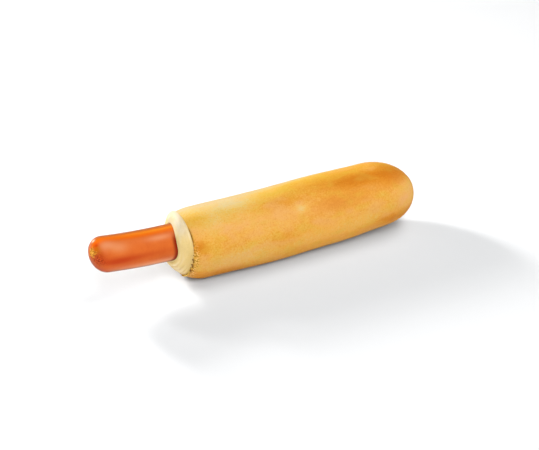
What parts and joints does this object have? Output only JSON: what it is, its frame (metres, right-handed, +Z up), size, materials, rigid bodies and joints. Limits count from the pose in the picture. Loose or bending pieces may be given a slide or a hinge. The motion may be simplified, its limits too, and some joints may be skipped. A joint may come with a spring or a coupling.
{
  "type": "hot dog",
  "caption": "French-style hot dog: a long soft closed-end roll, bored from its cut end, with a frankfurter pushed in and standing out.",
  "frame": {"origin": "on the flat underside of the roll, midway along and across the whole hot dog", "axes": "+X along the roll from its cut end to its closed end, so the frankfurter stands out towards -X; +Z up"},
  "size_m": [0.247, 0.0508, 0.0496],
  "materials": {
    "baked_bread": "soft golden baked crust, satin to matt",
    "crumb": "pale cream bread crumb at the cut, matt",
    "sausage_casing": "moist smooth orange-red casing, semi-gloss"
  },
  "bodies": {
    "root": {"bun": "baked_bread", "sausage": "sausage_casing"}
  },
  "joints": []
}
